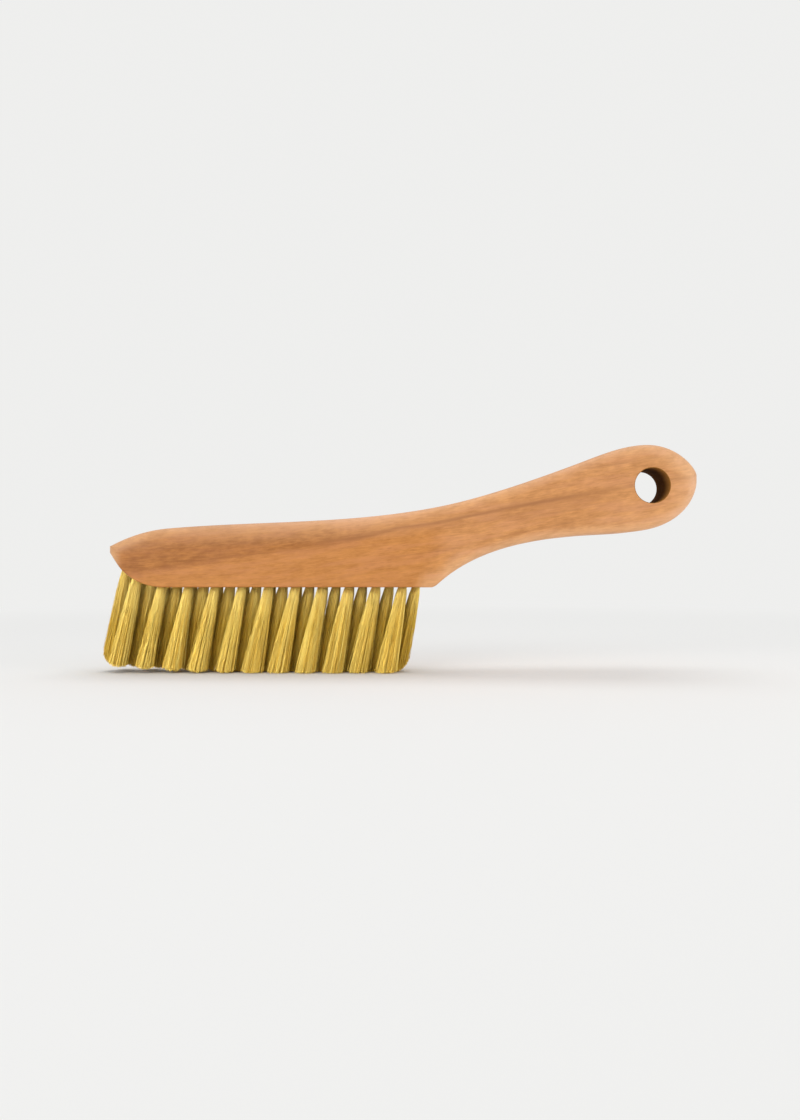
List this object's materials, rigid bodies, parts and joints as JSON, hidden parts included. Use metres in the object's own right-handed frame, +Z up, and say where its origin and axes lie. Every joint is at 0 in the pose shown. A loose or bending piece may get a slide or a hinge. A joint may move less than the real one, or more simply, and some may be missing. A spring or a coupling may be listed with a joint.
{
  "type": "wire hand brush",
  "caption": "Wooden hand brush with a rising handle, a hanging hole and three staggered rows of slanted brass wire tufts.",
  "frame": {"origin": "on the floor under the middle of the brush's length and width, where the wire tips stand", "axes": "+X from the nose to the end of the handle, +Y across the back to its rear side face, +Z up from the wire tips to the wooden back"},
  "size_m": [0.2514, 0.024, 0.0961],
  "materials": {
    "oiled_wood": "oiled, fine grained, satin",
    "brass_wire": "fine crimped drawn wire"
  },
  "bodies": {
    "root": {"wooden_back": "oiled_wood", "front_tuft_01": "brass_wire", "front_tuft_02": "brass_wire", "front_tuft_03": "brass_wire", "front_tuft_04": "brass_wire", "front_tuft_05": "brass_wire", "front_tuft_06": "brass_wire", "front_tuft_07": "brass_wire", "front_tuft_08": "brass_wire", "front_tuft_09": "brass_wire", "front_tuft_10": "brass_wire", "front_tuft_11": "brass_wire", "middle_tuft_01": "brass_wire", "middle_tuft_02": "brass_wire", "middle_tuft_03": "brass_wire", "middle_tuft_04": "brass_wire", "middle_tuft_05": "brass_wire", "middle_tuft_06": "brass_wire", "middle_tuft_07": "brass_wire", "middle_tuft_08": "brass_wire", "middle_tuft_09": "brass_wire", "middle_tuft_10": "brass_wire", "middle_tuft_11": "brass_wire", "middle_tuft_12": "brass_wire", "rear_tuft_01": "brass_wire", "rear_tuft_02": "brass_wire", "rear_tuft_03": "brass_wire", "rear_tuft_04": "brass_wire", "rear_tuft_05": "brass_wire", "rear_tuft_06": "brass_wire", "rear_tuft_07": "brass_wire", "rear_tuft_08": "brass_wire", "rear_tuft_09": "brass_wire", "rear_tuft_10": "brass_wire", "rear_tuft_11": "brass_wire"}
  },
  "joints": []
}
